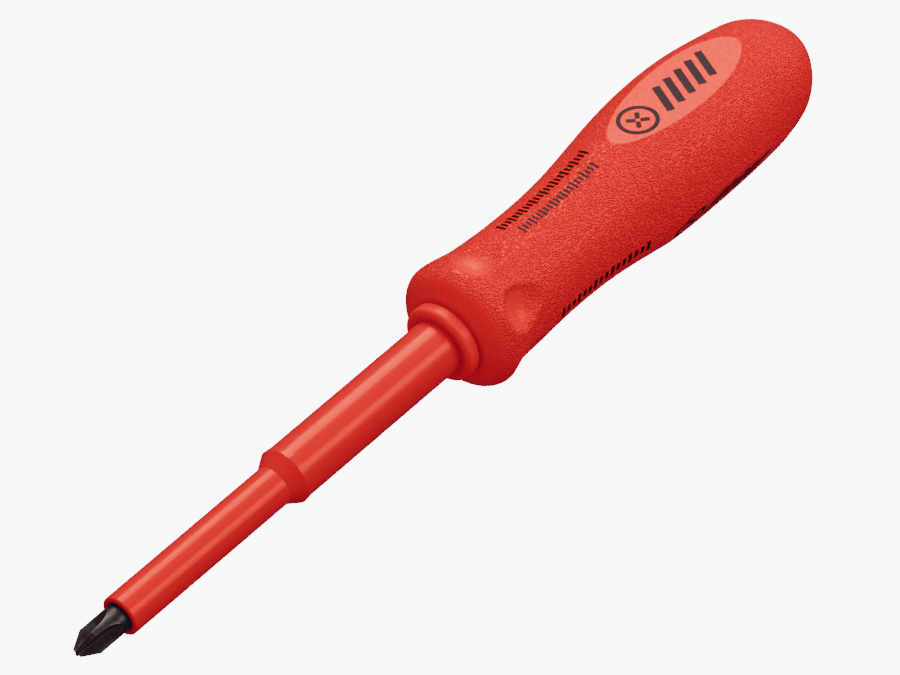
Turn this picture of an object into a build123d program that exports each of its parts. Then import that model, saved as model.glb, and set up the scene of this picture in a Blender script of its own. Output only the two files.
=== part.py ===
"""Insulated screwdriver: a cross-head blade in two insulating sleeves, held in a moulded handle.

The tool lies along X with its tip at the +X end. It rests on Z = 0 on one badge flat and the finger guard.
Lengths along the tool are measured from the tip, and are called "at" below. Millimetres throughout.
"""
import os
from math import cos, radians, sin, tan

from build123d import *

# ---------------------------------------------------------------- driving dimensions
tool_length = 217.5
handle_r = 15.8             # widest radius, at the palm swell
handle_wide_at = 180.0

bar_r = 3.0                 # 6 mm bar
bar_end = 176.0
bar_end_chamfer = 0.8

nose_r = 1.145              # blunt end of a number 2 cross tip
nose_bevel = 0.18
cone_angle = 26.5           # from the tool's axis to the crests of the wings
root_r = 0.42               # root of a flute, at the nose
root_angle = 5.75
root_round = 0.35
flute_angle = 92.0
flute_straight_to = 7.0     # behind this the root runs out along the cutter's arc
cutter_r = 4.4
flute_turn = 36.5           # how far round from up the wings stand

wing_span = 9.2             # swaged wings of the tang, across
wing_thickness = 2.4
wing_length = 11.0
wing_at = (150.0, 166.0)    # middle of each pair of wings

inner_r = 4.35              # sleeve on the bar
inner_covered_r = 4.1       # turned down where the second sleeve covers it
inner_from = 11.7
inner_to = 136.0
inner_edge = 0.4
mouth_r = 3.45              # the sleeve stands clear of the bar at its mouth
mouth_depth = 1.2
inner_groove_depth = 0.5
inner_groove_width = 2.0
inner_groove_at = (126.0, 131.0)

outer_r = 6.0               # second sleeve, over the rear half of the first
outer_buried_r = 5.7        # thinner from the handle's front, so the core keys on it
outer_neck_from = 103.8
outer_from = 55.4
outer_to = 121.0
outer_taper = 3.2
outer_lip = 0.2
outer_lip_length = 1.8
flange_r = 7.2              # buried flange that stops the sleeve from pulling out
flange_length = 2.2

collar_r = 8.5
collar_from = 104.0
collar_dish = 0.5           # the collar's face is hollowed towards the sleeve
collar_edge = 1.0
groove_r = 7.5              # groove between the collar and the finger guard
groove_from = 106.7
guard_from = 107.6

core_r = 9.6
core_from = 116.5
core_to = 140.0
core_edge = 2.0
rib_count = 6
rib_height = 1.2
rib_width = 2.4
rib_from = 123.0
rib_to = 138.0

guard_face_r = 8.5          # where the rounding of the guard begins
guard_r = 14.0              # the guard and the flats are level, so the tool lies flat
guard_at = 112.0
badge_count = 3
badge_h = 14.0              # from the axis to a badge flat
badge_from = 150.0
badge_to = 206.0
badge_edge = 0.5
dimple_count = 6
dimple_h = 11.35            # from the axis to the floor of a dimple
dimple_curve = 9.0
dimple_floor_at = 116.2
dimple_to = 125.2
dimple_edge = 1.0

# Outline of the handle behind the guard: (at, radius).
handle_outline = [
    (guard_at, guard_r),
    (118.5, 13.1),
    (127.0, 12.25),
    (137.0, 12.0),
    (148.0, 12.5),
    (160.0, 14.05),
    (170.0, 15.3),
    (handle_wide_at, handle_r),
    (191.0, 15.3),
    (201.0, 13.75),
    (209.0, 11.6),
    (214.6, 7.3),
    (tool_length, 0.0),
]

# ---------------------------------------------------------------- places
tip = Vector(tool_length / 2, 0, badge_h)
rearwards = Vector(-1, 0, 0)
tool_axis = Axis(tip, rearwards)


def outwards(angle):
    """Direction away from the tool's axis, at angle from up towards the front."""
    return Vector(0, -sin(radians(angle)), cos(radians(angle)))


def side_plane(angle=0.0):
    """Plane through the tool's axis: local X along the tool from the tip, local Y outwards at angle from up."""
    return Plane(origin=tip, x_dir=rearwards, z_dir=rearwards.cross(outwards(angle)))


def facing_plane(angle, height):
    """Plane that faces outwards at angle from up, at height from the axis: local X along the tool."""
    return Plane(origin=tip + outwards(angle) * height, x_dir=rearwards, z_dir=outwards(angle))


def around(count, first=0.0):
    """Angles from up of count equal features round the tool."""
    return [first + i * 360.0 / count for i in range(count)]


os.makedirs("parts", exist_ok=True)

# ---------------------------------------------------------------- blade
cone_length = (bar_r - nose_r) / tan(radians(cone_angle))
root_rise = tan(radians(root_angle))
flute_depth = 2 * bar_r
flute_half_width = flute_depth * tan(radians(flute_angle / 2))

with BuildPart() as flute:
    with BuildLine(side_plane(flute_turn + 45)) as flute_root:
        straight = Line((-1.0, root_r - root_rise), (flute_straight_to, root_r + flute_straight_to * root_rise))
        JernArc(straight @ 1, straight % 1, cutter_r, 75)
    start = flute_root.line % 0
    across = outwards(flute_turn + 45).cross(start)
    with BuildSketch(Plane(flute_root.line @ 0, x_dir=across, z_dir=start)) as vee:
        with BuildLine():
            Polyline((0, 0), (flute_half_width, flute_depth), (-flute_half_width, flute_depth), close=True)
        make_face()
        fillet(vee.vertices().sort_by(Axis.Y)[0], root_round)
    sweep()

with BuildPart() as blade:
    with BuildSketch(side_plane()):
        with BuildLine():
            Polyline(
                (0, 0),
                (0, nose_r - nose_bevel),
                (nose_bevel, nose_r),
                (cone_length, bar_r),
                (bar_end - bar_end_chamfer, bar_r),
                (bar_end, bar_r - bar_end_chamfer),
                (bar_end, 0),
                close=True,
            )
        make_face()
    revolve(axis=tool_axis)
    for angle in around(4):
        add(flute.part.rotate(tool_axis, angle), mode=Mode.SUBTRACT)
    for at in wing_at:
        with BuildSketch(facing_plane(0, 0)):
            with Locations((at, 0)):
                Trapezoid(wing_length, wing_span / 2, 60, align=(Align.CENTER, Align.MIN))
                Trapezoid(wing_length, wing_span / 2, 60, rotation=180, align=(Align.CENTER, Align.MIN))
        extrude(amount=wing_thickness / 2, both=True)
blade.part.label = "blade"
export_step(blade.part, "parts/blade.step")

# ---------------------------------------------------------------- sleeve on the bar
with BuildPart() as inner_insulation:
    with BuildSketch(side_plane()) as section:
        with BuildLine():
            Polyline(
                (inner_from + mouth_depth, bar_r),
                (inner_from + mouth_depth, mouth_r),
                (inner_from, mouth_r),
                (inner_from, inner_r),
                (outer_from, inner_r),
                (outer_from, inner_covered_r),
                (inner_to, inner_covered_r),
                (inner_to, bar_r),
                close=True,
            )
        make_face()
        fillet(section.vertices().group_by(Axis.X)[0].sort_by(Axis.Y)[-1], inner_edge)
        with Locations(*[(at, inner_covered_r) for at in inner_groove_at]):
            Rectangle(inner_groove_width, 2 * inner_groove_depth, mode=Mode.SUBTRACT)
    revolve(axis=tool_axis)
inner_insulation.part.label = "inner_insulation"
export_step(inner_insulation.part, "parts/inner_insulation.step")

# ---------------------------------------------------------------- second sleeve
shoulder_at = outer_from + outer_taper
with BuildPart() as outer_insulation:
    with BuildSketch(side_plane()):
        with BuildLine():
            Polyline(
                (outer_from, inner_covered_r),
                (outer_from, inner_r),
                (shoulder_at, outer_r + outer_lip),
                (shoulder_at + outer_lip_length, outer_r),
                (outer_neck_from, outer_r),
                (outer_neck_from, outer_buried_r),
                (outer_to - flange_length, outer_buried_r),
                (outer_to - flange_length, flange_r),
                (outer_to, flange_r),
                (outer_to, inner_covered_r),
                close=True,
            )
        make_face()
    revolve(axis=tool_axis)
outer_insulation.part.label = "outer_insulation"
export_step(outer_insulation.part, "parts/outer_insulation.step")

# ---------------------------------------------------------------- core moulded round the sleeves' rear ends
with BuildPart() as handle_core:
    with BuildSketch(side_plane()) as section:
        with BuildLine():
            Polyline(
                (collar_from + collar_dish, 0),
                (collar_from + collar_dish, outer_r),
                (collar_from, collar_r - collar_edge),
                (collar_from, collar_r),
                (groove_from, collar_r),
                (groove_from, groove_r),
                (core_from, groove_r),
                (core_from, core_r),
                (core_to, core_r),
                (core_to, 0),
                close=True,
            )
        make_face()
        rear_corner = section.vertices().group_by(Axis.X)[-1].sort_by(Axis.Y)[-1]
        fillet(rear_corner, core_edge)
        front_corner = section.vertices().group_by(Axis.X)[0].sort_by(Axis.Y)[-1]
        fillet(front_corner, 0.98 * collar_edge)
    revolve(axis=tool_axis)
    for angle in around(rib_count, 180 / rib_count):
        with BuildSketch(facing_plane(angle, 0)):
            with Locations(((rib_from + rib_to) / 2, 0)):
                Rectangle(rib_to - rib_from, rib_width)
        extrude(amount=core_r + rib_height)
    add(blade.part, mode=Mode.SUBTRACT)
    add(inner_insulation.part, mode=Mode.SUBTRACT)
    add(outer_insulation.part, mode=Mode.SUBTRACT)
handle_core.part.label = "handle_core"
export_step(handle_core.part, "parts/handle_core.step")

# ---------------------------------------------------------------- grip moulded over the core and the tang
with BuildPart() as dimple:
    with BuildSketch(side_plane()):
        with BuildLine():
            floor_edge = Spline(
                (111.9, guard_r + 1.4),
                (113.4, 12.9),
                (dimple_floor_at, dimple_h),
                (119.7, 11.5),
                (dimple_to - 1.5, 12.3),
                (dimple_to + 4, guard_r + 1.4),
            )
            Line(floor_edge @ 1, floor_edge @ 0)
        make_face()
    revolve(axis=Axis(tip + Vector(0, 0, dimple_h + dimple_curve), rearwards))

with BuildPart() as handle_grip:
    with BuildSketch(side_plane(180 / dimple_count)):
        with BuildLine():
            Line((guard_from, 0), (guard_from, guard_face_r))
            Bezier(
                (guard_from, guard_face_r),
                (guard_from, 11.3),
                (109.4, guard_r),
                (guard_at, guard_r),
            )
            Spline(*handle_outline, tangents=[(1, 0), (0, -1)])
            Line((tool_length, 0), (guard_from, 0))
        make_face()
    revolve(axis=tool_axis)
    for angle in around(badge_count, 60):
        with BuildSketch(facing_plane(angle, badge_h)):
            with Locations(((badge_from + badge_to) / 2, 0)):
                Rectangle(badge_to - badge_from, 3 * handle_r)
        extrude(amount=handle_r, mode=Mode.SUBTRACT)
    badge_flats = handle_grip.faces().filter_by(GeomType.PLANE).sort_by(Axis.X)[:-1]
    fillet([edge for flat in badge_flats for edge in flat.outer_wire().edges()], badge_edge)
    for angle in around(dimple_count):
        add(dimple.part.rotate(tool_axis, angle), mode=Mode.SUBTRACT)
    dimple_rims = handle_grip.edges().filter_by_position(Axis.X, tip.X - dimple_to, tip.X - guard_at - 1)
    fillet(dimple_rims, dimple_edge)
    add(handle_core.part, mode=Mode.SUBTRACT)
    add(blade.part, mode=Mode.SUBTRACT)
    add(inner_insulation.part, mode=Mode.SUBTRACT)
    add(outer_insulation.part, mode=Mode.SUBTRACT)
handle_grip.part.label = "handle_grip"
export_step(handle_grip.part, "parts/handle_grip.step")
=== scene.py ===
"""Looks of the insulated screwdriver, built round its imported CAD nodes."""

import math

import bpy
from mathutils import Matrix, Vector
from mathutils.bvhtree import BVHTree


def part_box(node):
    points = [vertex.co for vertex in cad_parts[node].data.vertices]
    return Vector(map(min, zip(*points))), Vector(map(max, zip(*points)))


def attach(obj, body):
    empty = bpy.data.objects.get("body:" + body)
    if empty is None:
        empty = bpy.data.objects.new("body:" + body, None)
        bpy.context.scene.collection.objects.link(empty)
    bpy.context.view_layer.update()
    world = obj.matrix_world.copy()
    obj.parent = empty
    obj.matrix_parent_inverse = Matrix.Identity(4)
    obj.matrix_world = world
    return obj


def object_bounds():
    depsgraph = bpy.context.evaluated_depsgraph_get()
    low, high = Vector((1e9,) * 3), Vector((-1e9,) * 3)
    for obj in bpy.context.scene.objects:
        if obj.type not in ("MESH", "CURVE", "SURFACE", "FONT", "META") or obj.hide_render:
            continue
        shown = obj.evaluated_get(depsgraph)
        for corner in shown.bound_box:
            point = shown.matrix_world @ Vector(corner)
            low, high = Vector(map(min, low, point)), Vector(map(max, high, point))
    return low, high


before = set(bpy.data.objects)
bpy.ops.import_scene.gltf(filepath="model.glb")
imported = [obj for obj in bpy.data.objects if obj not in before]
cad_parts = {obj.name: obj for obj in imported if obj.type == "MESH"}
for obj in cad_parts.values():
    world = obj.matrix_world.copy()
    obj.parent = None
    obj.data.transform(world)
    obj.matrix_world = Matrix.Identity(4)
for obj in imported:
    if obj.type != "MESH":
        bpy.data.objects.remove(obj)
cad_low, cad_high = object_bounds()

MM = 0.001
FLATS = (60, 180, 300)  # degrees from up: where the grip's three flats face, the front one first
tip = Vector((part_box("blade")[1].x, 0.0, sum(p.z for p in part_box("inner_insulation")) / 2))


def at(u, y=0.0, z=0.0):
    """Point u mm behind the tip, y and z mm from the tool's axis."""
    return tip + Vector((-u, y, z)) * MM


def outwards(angle):
    """Direction away from the tool's axis, angle degrees from up towards the front."""
    a = math.radians(angle)
    return Vector((0, -math.sin(a), math.cos(a)))


# ---------------------------------------------------------------- node graphs
class Graph:
    """Nodes of one material or world. A value is a number, a colour or another node's output."""

    def __init__(self, owner):
        owner.use_nodes = True
        self.nodes, self.links = owner.node_tree.nodes, owner.node_tree.links

    def put(self, value, socket):
        """Give a socket its value."""
        if isinstance(value, bpy.types.NodeSocket):
            self.links.new(value, socket)
        elif socket.type == "RGBA":
            socket.default_value = (*value, 1)
        else:
            socket.default_value = value

    def place(self, kind):
        """Coordinates of the shaded point: "Object", or "Generated" for a direction in the world."""
        return self.nodes.new("ShaderNodeTexCoord").outputs[kind]

    def split(self, vector):
        """The x, y and z of a vector."""
        parts = self.nodes.new("ShaderNodeSeparateXYZ")
        self.put(vector, parts.inputs["Vector"])
        return parts.outputs

    def from_tip(self):
        """How far the shaded point is behind the tip, and its y and z from the tool's axis, in mm."""
        x, y, z = self.split(self.place("Object"))
        u = self.math("DIVIDE", self.math("SUBTRACT", tip.x, x), MM)
        z = self.math("SUBTRACT", z, tip.z)
        return u, self.math("DIVIDE", y, MM), self.math("DIVIDE", z, MM)

    def math(self, operation, a, b=0):
        n = self.nodes.new("ShaderNodeMath")
        n.operation = operation
        self.put(a, n.inputs[0])
        self.put(b, n.inputs[1])
        return n.outputs[0]

    def ramp(self, value, low, high, at_low=0.0, at_high=1.0):
        """Straight ramp from at_low where value is low to at_high where it is high, level outside."""
        n = self.nodes.new("ShaderNodeMapRange")
        self.put(value, n.inputs["Value"])
        self.put(low, n.inputs["From Min"])
        self.put(high, n.inputs["From Max"])
        self.put(at_low, n.inputs["To Min"])
        self.put(at_high, n.inputs["To Max"])
        return n.outputs["Result"]

    def mix(self, share, a, b):
        """Colour a, with that share of colour b."""
        n = self.nodes.new("ShaderNodeMix")
        n.data_type = "RGBA"
        self.put(share, n.inputs["Factor"])
        self.put(a, n.inputs["A"])
        self.put(b, n.inputs["B"])
        return n.outputs["Result"]

    def noise(self, scale, detail, stretch=(1, 1, 1)):
        spread = self.nodes.new("ShaderNodeMapping")
        self.put(self.place("Object"), spread.inputs["Vector"])
        self.put(stretch, spread.inputs["Scale"])
        n = self.nodes.new("ShaderNodeTexNoise")
        self.put(spread.outputs["Vector"], n.inputs["Vector"])
        self.put(scale, n.inputs["Scale"])
        self.put(detail, n.inputs["Detail"])
        return n.outputs["Fac"]

    def pebbles(self, scale):
        """Distance from the top of the nearest pebble of a moulded grain."""
        n = self.nodes.new("ShaderNodeTexVoronoi")
        self.put(self.place("Object"), n.inputs["Vector"])
        self.put(scale, n.inputs["Scale"])
        return n.outputs["Distance"]

    def bump(self, height, depth, strength=1.0):
        """Normal of a surface that rises and falls by up to depth mm."""
        n = self.nodes.new("ShaderNodeBump")
        self.put(height, n.inputs["Height"])
        self.put(depth * MM, n.inputs["Distance"])
        self.put(strength, n.inputs["Strength"])
        return n.outputs["Normal"]

    def edges(self, radius, sharp, edge_highlight):
        """Share of painted highlight, up to edge_highlight, on edges sharper than a rounding of radius mm,
        falling to 0 on open faces.
        """
        rounded = self.nodes.new("ShaderNodeBevel")
        self.put(radius * MM, rounded.inputs["Radius"])
        surface = self.nodes.new("ShaderNodeNewGeometry")
        level = self.nodes.new("ShaderNodeVectorMath")
        level.operation = "DOT_PRODUCT"
        self.put(rounded.outputs["Normal"], level.inputs[0])
        self.put(surface.outputs["Normal"], level.inputs[1])
        return self.ramp(level.outputs["Value"], 0.99, sharp, 0, edge_highlight)


# ---------------------------------------------------------------- materials
RED, DEEP = (0.76, 0.002, 0.004), (0.68, 0.002, 0.003)
SLEEVE_RED, SLEEVE_DEEP = (0.59, 0.002, 0.004), (0.53, 0.002, 0.003)
# painted light: every plastic glows faintly, which lifts its shadows to a crimson
PLASTIC_GLOW = (0.034, 0.0045, 0.016)
PLASTIC_TINT = (1.0, 0.05, 0.02)  # of the shine, so that it stays red
# painted glints: the grain's pebble tops are drawn lighter, as if they caught the light
PEBBLE_GLINT = (1.0, 0.06, 0.015)

# Where the grip's grain fades, in mm behind the tip or from the tool's axis.
GUARD_CREST = (108.2, 110.8)  # smooth in front of this stretch, grained behind it
FLAT_RIM = (13.93, 13.98)  # height at which a flat begins
GUARD_BACK = (112.3, 124.3)  # between the dimples the skin narrows here,
GUARD_BACK_RADIUS = (13.9, 12.4)  # from the first of these radii to the second
DIMPLE_DEPTH = (0.35, 1.3)  # under that skin: from grained to smooth
DIMPLE_FRONT = (113.5, 115)
DIMPLE_REAR = (118, 121)


def material(name, colour, rough, glow, metallic=0.0):
    """glow is a faint light of its own, which keeps the deepest shadows from going black."""
    m = bpy.data.materials.new(name)
    g = Graph(m)
    inputs = g.nodes["Principled BSDF"].inputs
    g.put(colour, inputs["Base Color"])
    g.put(rough, inputs["Roughness"])
    g.put(metallic, inputs["Metallic"])
    g.put(glow, inputs["Emission Color"])
    g.put(1, inputs["Emission Strength"])
    return m, g, inputs


def plastic(name, light, dark, rough, shine, grain, ripple, cover=None):
    """Coloured plastic with a ripple of ripple mm, grain waves to the metre.

    With cover the ripple is a moulded grain of pebbles whose tops are painted lighter as glints, and
    cover(graph) gives how much of it shows where.
    """
    m, g, inputs = material(name, light, rough, PLASTIC_GLOW)
    g.put(shine, inputs["Specular IOR Level"])
    g.put(PLASTIC_TINT, inputs["Specular Tint"])
    base = g.mix(g.noise(90, 3), dark, light)
    uneven = g.ramp(g.noise(400, 4), 0.3, 0.7, rough - 0.04, rough + 0.05)
    if cover:
        shown = cover(g)
        away = g.pebbles(grain)
        # painted glints: lighter colour on the pebble tops where the grain shows
        painted_glints = g.math("MULTIPLY", g.ramp(away, 0.1, 0.35, 0.6, 0), shown)
        base = g.mix(painted_glints, base, PEBBLE_GLINT)
        uneven = g.math("MULTIPLY", uneven, g.ramp(shown, 0, 1, 0.75, 1))
        normal = g.bump(g.ramp(away, 0, 0.7, 1, 0), ripple, shown)
    else:
        normal = g.bump(g.noise(grain, 1.5), ripple)
    g.put(base, inputs["Base Color"])
    g.put(uneven, inputs["Roughness"])
    g.put(normal, inputs["Normal"])
    return m


def grained(g):
    """1 on the grained skin of the grip; near 0 on its flats, in its dimples and on the guard's front."""
    u, y, z = g.from_tip()
    smooth = g.ramp(u, *GUARD_CREST, 1, 0)
    for angle in FLATS:
        out = outwards(angle)
        height = g.math("ADD", g.math("MULTIPLY", y, out.y), g.math("MULTIPLY", z, out.z))
        smooth = g.math("MAXIMUM", smooth, g.ramp(height, *FLAT_RIM))
    squares = g.math("ADD", g.math("MULTIPLY", y, y), g.math("MULTIPLY", z, z))
    skin = g.ramp(u, *GUARD_BACK, *GUARD_BACK_RADIUS)
    sunk = g.ramp(g.math("SUBTRACT", skin, g.math("SQRT", squares)), *DIMPLE_DEPTH)
    along = g.math("MULTIPLY", g.ramp(u, *DIMPLE_FRONT), g.ramp(u, *DIMPLE_REAR, 1, 0))
    smooth = g.math("MAXIMUM", smooth, g.math("MULTIPLY", sunk, along))
    return g.ramp(smooth, 0, 1, 1, 0.12)


def black_oxide():
    """Steel with a stained black-oxide skin, brushed along the bar, with painted highlights on its sharp
    edges and a faint painted glow that lifts its shadows.
    """
    # painted light: the steel glows faintly, which lifts its deepest shadows
    m, g, inputs = material("black_oxide", (0.03, 0.04, 0.045), 0.40, (0.004, 0.007, 0.0075), metallic=0.85)
    stain = g.ramp(g.noise(700, 5), 0.3, 0.7)
    oxide = g.mix(stain, (0.006, 0.018, 0.028), (0.036, 0.082, 0.20))
    # painted highlight: the sharp edges are drawn lighter, as a rounded edge would catch the light
    g.put(g.mix(g.edges(0.12, 0.88, 0.8), oxide, (0.27, 0.50, 1.0)), inputs["Base Color"])
    g.put(g.bump(g.noise(900, 2, (0.15, 1, 1)), 0.05, 0.6), inputs["Normal"])
    return m


def ink(name, dark, light, glow):
    m, g, inputs = material(name, dark, 0.5, glow)
    g.put(0.06, inputs["Specular IOR Level"])
    g.put(g.mix(g.ramp(g.noise(1800, 3), 0.4, 0.7), dark, light), inputs["Base Color"])
    return m


sleeve = plastic("sleeve_red", SLEEVE_RED, SLEEVE_DEEP, rough=0.22, shine=0.58, grain=700, ripple=0.004)
core = plastic("core_red", RED, DEEP, rough=0.30, shine=0.38, grain=1200, ripple=0.01)
grip = plastic("grip_red", RED, DEEP, rough=0.30, shine=0.37, grain=2400, ripple=0.38, cover=grained)
steel = black_oxide()
# painted light: the inks glow faintly, the grey one a slate blue, which lifts their shade
grey_ink = ink("grey_ink", (0.014, 0.022, 0.060), (0.024, 0.036, 0.090), (0.002, 0.018, 0.030))
black_ink = ink("black_ink", (0.006, 0.005, 0.006), (0.014, 0.011, 0.012), (0, 0.002, 0.003))

for node, m in (
    ("blade", steel),
    ("inner_insulation", sleeve),
    ("outer_insulation", sleeve),
    ("handle_core", core),
    ("handle_grip", grip),
):
    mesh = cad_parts[node].data
    mesh.materials.clear()
    mesh.materials.append(m)

# ---------------------------------------------------------------- printed marks
INK = 0.05  # mm: how far the ink stands over the surface, and how far it reaches under it
CLEAR = 40 * MM  # from the tool's axis to well outside the grip

grip_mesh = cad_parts["handle_grip"].data
skin = BVHTree.FromPolygons([v.co for v in grip_mesh.vertices], [p.vertices for p in grip_mesh.polygons])


def on_grip(u, across, angle, lift):
    """Point lift mm over the grip, u mm behind the tip and across mm round from the line at angle."""
    out = outwards(angle)
    start = at(u) + outwards(angle + 90) * across * MM + out * CLEAR
    hit, normal, _, _ = skin.ray_cast(start, -out)
    return hit + normal * lift * MM


def printed(name, angle, outlines, m):
    """Ink on the grip. Each outline is a strip: pairs of (u, across) points on its two long edges."""
    points, faces = [], []
    for strip in outlines:
        n = 3 * len(strip)
        top, low = len(points), len(points) + n
        for lift in (INK, -INK):
            for a, b in strip:
                middle = ((a[0] + b[0]) / 2, (a[1] + b[1]) / 2)
                points += [on_grip(*p, angle, lift) for p in (a, middle, b)]
        for i in range(0, n - 3, 3):
            for j in (i, i + 1):  # top and underside
                faces.append((top + j, top + j + 1, top + j + 4, top + j + 3))
                faces.append((low + j, low + j + 3, low + j + 4, low + j + 1))
            faces.append((top + i, top + i + 3, low + i + 3, low + i))  # the two long sides
            faces.append((top + i + 2, low + i + 2, low + i + 5, top + i + 5))
        for i in (0, 1):  # the two ends
            faces.append((top + i, low + i, low + i + 1, top + i + 1))
            j = n - 3 + i
            faces.append((top + j, top + j + 1, low + j + 1, low + j))
    mesh = bpy.data.meshes.new(name)
    mesh.from_pydata(points, [], faces)
    mesh.materials.append(m)
    o = bpy.data.objects.new(name, mesh)
    bpy.context.collection.objects.link(o)
    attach(o, "root")


def bar(u, across, length, width, slant=0.0, steps=6):
    """Straight bar centred at (u, across), turned slant degrees from the tool's direction."""
    c, s = math.cos(math.radians(slant)), math.sin(math.radians(slant))
    strip = []
    for i in range(steps + 1):
        x = length * (i / steps - 0.5)
        strip.append([(u + x * c - w * s, across + x * s + w * c) for w in (-width / 2, width / 2)])
    return strip


def arc(u, across, r, width, start, end, steps=24):
    """Part of a ring of radius r to the middle of its band, from start to end degrees."""
    strip = []
    for i in range(steps + 1):
        a = math.radians(start + (end - start) * i / steps)
        c, s = math.cos(a), math.sin(a)
        strip.append([(u + q * c, across + q * s) for q in (r - width / 2, r + width / 2)])
    return strip


def emblem(u):
    """Generic mark: a four-winged driver tip in a ring, followed by slanted bars."""
    marks = [arc(u, 0, r=4.0, width=0.9, start=half, end=half + 180) for half in (0, 180)]
    wing_at = 1.45  # from the middle of the ring
    for angle in (45, 135, 225, 315):
        a = math.radians(angle)
        wing = (u + wing_at * math.cos(a), wing_at * math.sin(a))
        marks.append(bar(*wing, length=1.9, width=1.0, slant=angle))
    first_bar, gap = u + 8.2, 3.4
    for i in range(5):
        marks.append(bar(first_bar + gap * i, 0, length=8.2, width=1.7, slant=62))
    return marks


def ticks(first, last, count, height):
    """Scale of thin lines, with every third one taller."""
    gap = (last - first) / (count - 1)
    marks = []
    for i in range(count):
        tall = height if i % 3 == 0 else 0.7 * height
        marks.append(bar(first + i * gap, 0, length=0.5 * gap, width=tall, steps=2))
    return marks


printed("size_row", 75.5, ticks(first=128.7, last=155, count=25, height=2.5), black_ink)
printed("drive_row", 56.5, ticks(first=130.5, last=153, count=22, height=2.3), grey_ink)
printed("rating_row", -43.5, ticks(first=128.5, last=154, count=16, height=2.6), black_ink)
printed("front_emblem", FLATS[0], emblem(168), grey_ink)
printed("rear_emblem", FLATS[2], emblem(168), black_ink)


# ---------------------------------------------------------------- floor and surroundings
def pale_floor():
    """Floor bright enough to show as near white. It neither lights the tool nor shows in it."""
    m, g, inputs = material("floor", (0.90, 0.90, 0.90), 0.9, (1, 1, 1))
    g.put(9, inputs["Emission Strength"])
    gap = 0.02 * MM  # under the tool, so that the two never share a plane
    bpy.ops.mesh.primitive_plane_add(size=6, location=(0, 0, cad_low.z - gap))
    floor = bpy.context.object
    floor.name = "floor"
    floor.data.materials.append(m)
    floor.visible_diffuse = floor.visible_glossy = floor.visible_shadow = False


def red_surroundings():
    """Soft light from all round, brightest from above, in front and the tip's end."""
    world = bpy.data.worlds.new("world")
    bpy.context.scene.world = world
    g = Graph(world)
    x, y, z = g.split(g.place("Generated"))
    lit = g.math("ADD", g.math("SUBTRACT", z, y), x)
    sky = g.mix(g.ramp(lit, -1.0, 1.8), (0.08, 0.03, 0.03), (1.10, 0.066, 0.066))
    g.put(sky, g.nodes["Background"].inputs["Color"])


pale_floor()
red_surroundings()

# ---------------------------------------------------------------- camera
AZIMUTH = 59.0  # degrees from the front towards the tip
ELEVATION = 51.9  # degrees up from level
ROLL = 87.0  # degrees round the view
DISTANCE = 1.109  # metres
AIM = at(107.6, 0.2, 0.1)
LENS = 225.2  # mm, on a sensor 36 mm wide


def facing_matrix(x, y, z, place):
    """Matrix of an object at place whose own axes point along x, y and z."""
    return Matrix.Translation(place) @ Matrix((x, y, z)).transposed().to_4x4()


def camera_axes(azimuth, elevation, roll):
    """Right, up and backward directions of a camera on that side of the tool."""
    az, el, roll = (math.radians(a) for a in (azimuth, elevation, roll))
    back = Vector((math.cos(el) * math.sin(az), -math.cos(el) * math.cos(az), math.sin(el)))
    level = Vector((math.cos(az), math.sin(az), 0))
    right = level * math.cos(roll) + back.cross(level) * math.sin(roll)
    return right, back.cross(right), back


right, up, back = camera_axes(AZIMUTH, ELEVATION, ROLL)
cam_data = bpy.data.cameras.new("camera")
cam_data.sensor_width = 36
cam_data.lens = LENS
cam_data.clip_start, cam_data.clip_end = 0.05, 20
cam_data.dof.use_dof = False
cam = bpy.data.objects.new("camera", cam_data)
cam.matrix_world = facing_matrix(right, up, back, AIM + back * DISTANCE)
bpy.context.collection.objects.link(cam)
bpy.context.scene.camera = cam

# ---------------------------------------------------------------- lights
WARM = (1.0, 0.48, 0.20)
LIGHT_AT = at(110)  # the lights point here
LIGHT_DISTANCE = 1.1
LIGHT_LENGTH = 0.50  # along the tool

facing = math.degrees(math.atan2(-back.y, back.z))  # from up, of the strip of the tool that faces the camera


def softbox(name, turn, height, watts):
    """Soft light mirrored by the strip of the tool turn degrees round from the one facing the camera."""
    data = bpy.data.lights.new(name, "AREA")
    data.shape = "RECTANGLE"
    data.size, data.size_y = LIGHT_LENGTH, height
    data.energy, data.color = watts, WARM
    normal = outwards(facing + turn)
    towards = (2 * normal.dot(back) * normal - back).normalized()
    x = Vector((1, 0, 0))
    x = (x - towards * x.dot(towards)).normalized()
    o = bpy.data.objects.new(name, data)
    o.matrix_world = facing_matrix(x, towards.cross(x), towards, LIGHT_AT + towards * LIGHT_DISTANCE)
    bpy.context.collection.objects.link(o)


softbox("key", turn=32, height=0.60, watts=16.6)
softbox("strip", turn=-9.5, height=0.40, watts=8.2)
